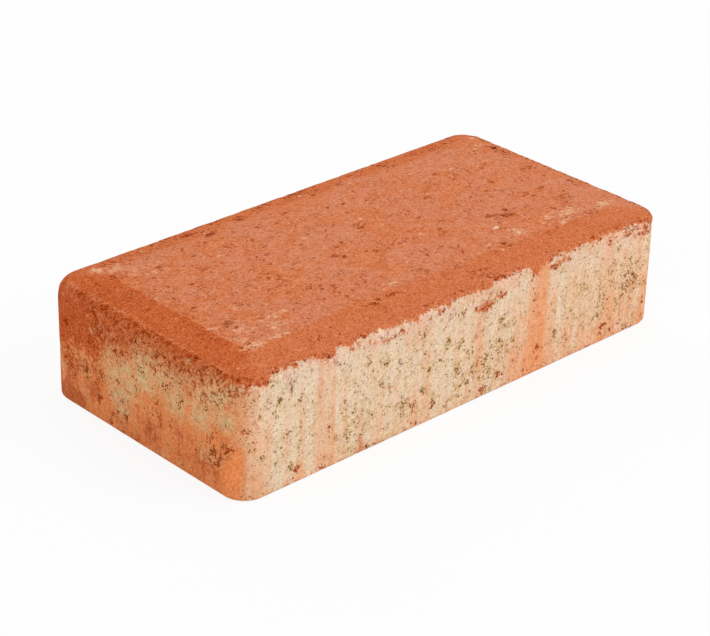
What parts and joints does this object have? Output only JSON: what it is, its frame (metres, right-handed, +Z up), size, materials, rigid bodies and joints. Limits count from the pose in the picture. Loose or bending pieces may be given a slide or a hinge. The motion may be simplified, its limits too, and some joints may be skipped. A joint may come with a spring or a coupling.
{
  "type": "concrete paving stone",
  "caption": "Rectangular pressed concrete paving stone with a red wearing face, pale sides, rounded corners and a shallow sloping band round the top.",
  "frame": {"origin": "middle of the bed face, at the bottom centre of the bounding box", "axes": "+X along the stone, +Y across it, +Z up from the bed face to the wearing face"},
  "size_m": [0.2, 0.1, 0.045],
  "materials": {
    "pressed_concrete": "matte, fine grained and porous; terracotta red face mix over a pale cream base mix with orange and olive stains on the sides"
  },
  "bodies": {
    "root": {"paving_stone": "pressed_concrete"}
  },
  "joints": []
}
